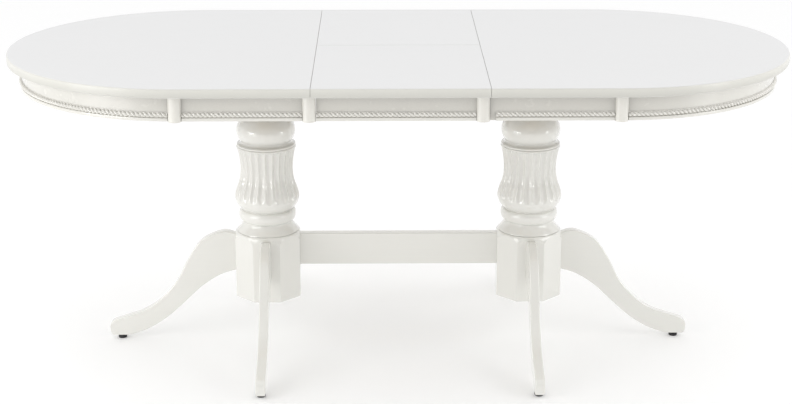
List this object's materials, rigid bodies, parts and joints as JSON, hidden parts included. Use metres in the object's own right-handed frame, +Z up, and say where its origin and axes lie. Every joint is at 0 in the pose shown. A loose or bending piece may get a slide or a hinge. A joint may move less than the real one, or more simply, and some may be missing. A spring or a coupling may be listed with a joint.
{
  "type": "extendable dining table",
  "caption": "White lacquered dining table with rounded ends, two halves that slide apart, a folding centre leaf, rope moulded aprons and turned pedestals on scroll legs.",
  "frame": {"origin": "on the floor under the middle of the table", "axes": "+X along the table to its right end, +Y across it to the rear, +Z up"},
  "size_m": [1.9, 0.9, 0.765],
  "materials": {
    "top_lacquer": "satin white lacquer over a smooth board",
    "apron_lacquer": "satin warm white lacquer",
    "moulding_lacquer": "satin warm white lacquer on a twisted rope moulding",
    "post_lacquer": "satin warm white lacquer",
    "column_lacquer": "satin warm white lacquer on turned wood",
    "hub_lacquer": "satin warm white lacquer",
    "leg_lacquer": "satin warm white lacquer",
    "stretcher_lacquer": "satin warm white lacquer",
    "raw_beech": "unpainted beech, planed",
    "zinc_steel": "zinc plated steel",
    "glide_plastic": "black nylon"
  },
  "bodies": {
    "base": {"left_column": "column_lacquer", "left_hub": "hub_lacquer", "left_bearer": "raw_beech", "left_leg_outer": "leg_lacquer", "left_glide_outer": "glide_plastic", "left_leg_front": "leg_lacquer", "left_glide_front": "glide_plastic", "left_leg_rear": "leg_lacquer", "left_glide_rear": "glide_plastic", "right_column": "column_lacquer", "right_hub": "hub_lacquer", "right_bearer": "raw_beech", "right_leg_outer": "leg_lacquer", "right_glide_outer": "glide_plastic", "right_leg_front": "leg_lacquer", "right_glide_front": "glide_plastic", "right_leg_rear": "leg_lacquer", "right_glide_rear": "glide_plastic", "stretcher": "stretcher_lacquer", "fixed_rail_front": "raw_beech", "fixed_rail_rear": "raw_beech"},
    "left_half": {"left_top_half": "top_lacquer", "left_end_apron": "apron_lacquer", "left_apron_front": "apron_lacquer", "left_apron_rear": "apron_lacquer", "left_end_rope": "moulding_lacquer", "left_rope_front": "moulding_lacquer", "left_rope_rear": "moulding_lacquer", "outer_post_left_front": "post_lacquer", "outer_post_left_rear": "post_lacquer", "left_runner_front": "raw_beech", "left_runner_rear": "raw_beech", "seam_post_left_front": "post_lacquer", "seam_post_left_rear": "post_lacquer"},
    "right_half": {"right_top_half": "top_lacquer", "right_end_apron": "apron_lacquer", "right_apron_front": "apron_lacquer", "right_apron_rear": "apron_lacquer", "right_end_rope": "moulding_lacquer", "right_rope_front": "moulding_lacquer", "right_rope_rear": "moulding_lacquer", "outer_post_right_front": "post_lacquer", "outer_post_right_rear": "post_lacquer", "right_runner_front": "raw_beech", "right_runner_rear": "raw_beech"},
    "leaf_rear": {"leaf_panel_rear": "top_lacquer", "leaf_apron_rear": "apron_lacquer", "leaf_rope_rear": "moulding_lacquer", "seam_post_leaf_rear": "post_lacquer", "leaf_hinge_left_rear": "zinc_steel", "leaf_hinge_right_rear": "zinc_steel"},
    "leaf_front": {"leaf_panel_front": "top_lacquer", "leaf_apron_front": "apron_lacquer", "leaf_rope_front": "moulding_lacquer", "seam_post_leaf_front": "post_lacquer", "leaf_hinge_left_front": "zinc_steel", "leaf_hinge_right_front": "zinc_steel"},
    "button_left": {"turn_button_left": "zinc_steel"},
    "button_right": {"turn_button_right": "zinc_steel"}
  },
  "joints": [
    {"name": "left_slide", "type": "slide", "parent": "base", "child": "left_half", "axis": [-1, 0, 0], "range_m": [0, 0.04]},
    {"name": "right_slide", "type": "slide", "parent": "base", "child": "right_half", "axis": [1, 0, 0], "range_m": [0, 0.04]},
    {"name": "leaf_lift", "type": "slide", "parent": "base", "child": "leaf_rear", "axis": [0, 0, 1], "range_m": [0, 0.2]},
    {"name": "leaf_fold", "type": "hinge", "parent": "leaf_rear", "child": "leaf_front", "pos_m": [0, 0, 0.7653], "axis": [-1, 0, 0], "range_deg": [0, 180]},
    {"name": "button_left_turn", "type": "hinge", "parent": "leaf_rear", "child": "button_left", "pos_m": [-0.12, 0.256, 0.7], "axis": [0, 0, 1], "range_deg": [0, 90]},
    {"name": "button_right_turn", "type": "hinge", "parent": "leaf_rear", "child": "button_right", "pos_m": [0.12, 0.144, 0.7], "axis": [0, 0, 1], "range_deg": [0, 90]}
  ]
}
